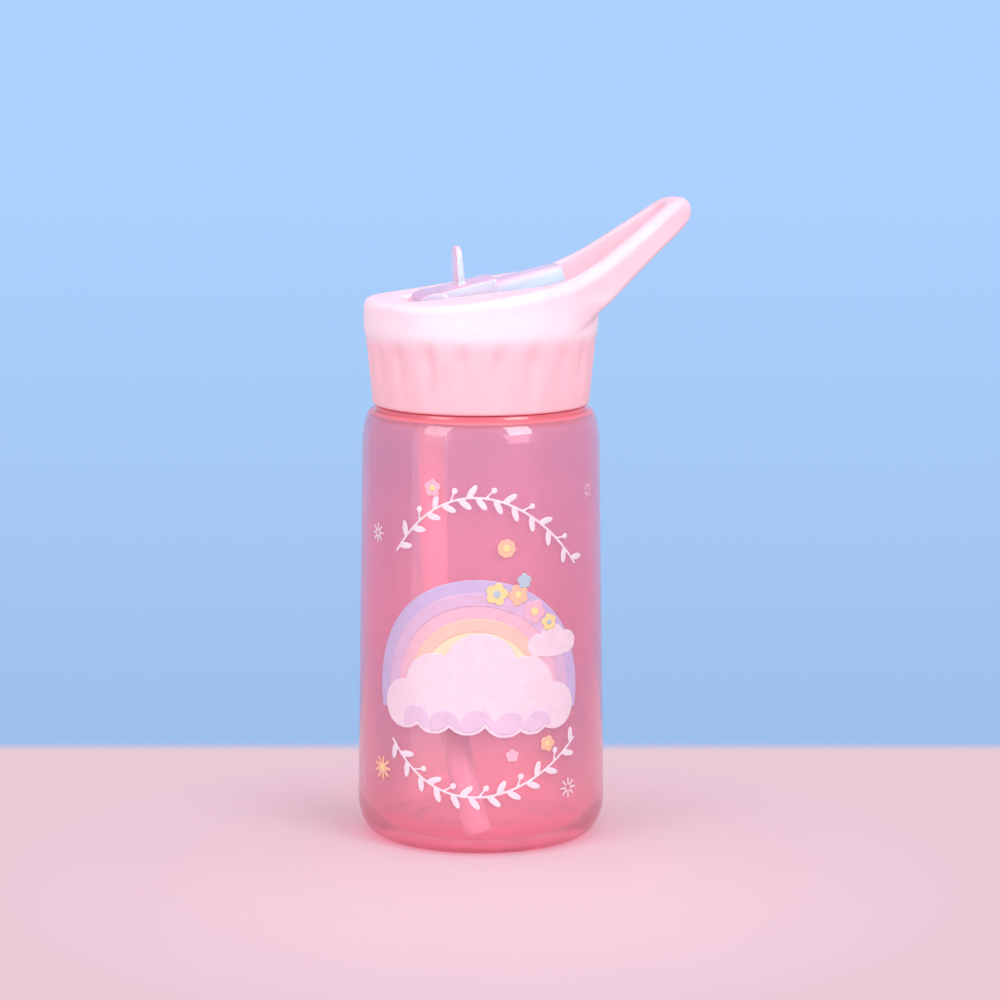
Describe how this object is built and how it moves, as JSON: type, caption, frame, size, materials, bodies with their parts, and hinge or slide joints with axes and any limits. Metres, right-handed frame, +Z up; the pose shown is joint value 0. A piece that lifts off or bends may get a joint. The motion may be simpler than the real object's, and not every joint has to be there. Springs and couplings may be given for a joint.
{
  "type": "kids water bottle",
  "caption": "Small see-through pink water bottle with a screw lid, a carry loop, a clear flip-up spout and a straw.",
  "frame": {"origin": "centre of the bottle's base, on the surface that it stands on", "axes": "+Z up along the bottle's axis, +X towards the carry loop's tip, the lid is symmetric about the XZ plane"},
  "size_m": [0.0985, 0.073, 0.1867],
  "materials": {
    "tinted_body": "clear pink-tinted copolyester, glossy",
    "lid_plastic": "pale pink polypropylene, satin gloss",
    "spout_clear": "clear moulded plastic, glossy, faint pink",
    "inner_plastic": "pale pink polypropylene, satin",
    "pin_plastic": "white acetal, satin",
    "silicone": "translucent white silicone, matt",
    "straw_plastic": "translucent pale pink polyethylene, satin"
  },
  "bodies": {
    "bottle": {"bottle_body": "tinted_body"},
    "gasket_ring": {"neck_gasket": "silicone"},
    "lid": {"lid_shell": "lid_plastic", "lid_inner_plate": "inner_plastic", "pivot_pin_left": "pin_plastic", "pivot_pin_right": "pin_plastic", "spout_seat_seal": "silicone", "vent_valve": "silicone", "straw": "straw_plastic"},
    "spout": {"flip_spout": "spout_clear"}
  },
  "joints": [
    {"name": "lid_lift", "type": "slide", "parent": "bottle", "child": "gasket_ring", "axis": [0, 0, 1], "range_m": [0, 0.0061]},
    {"name": "lid_turn", "type": "hinge", "parent": "gasket_ring", "child": "lid", "pos_m": [0, 0, 0.141], "axis": [0, 0, 1], "range_deg": [0, 540]},
    {"name": "spout_flip", "type": "hinge", "parent": "lid", "child": "spout", "pos_m": [-0.0145, 0, 0.1536], "axis": [0, -1, 0], "range_deg": [0, 76.5]}
  ],
  "couplings": [
    {"joint": "lid_lift", "follows": "lid_turn", "m_per_rad": 0.00063662}
  ]
}
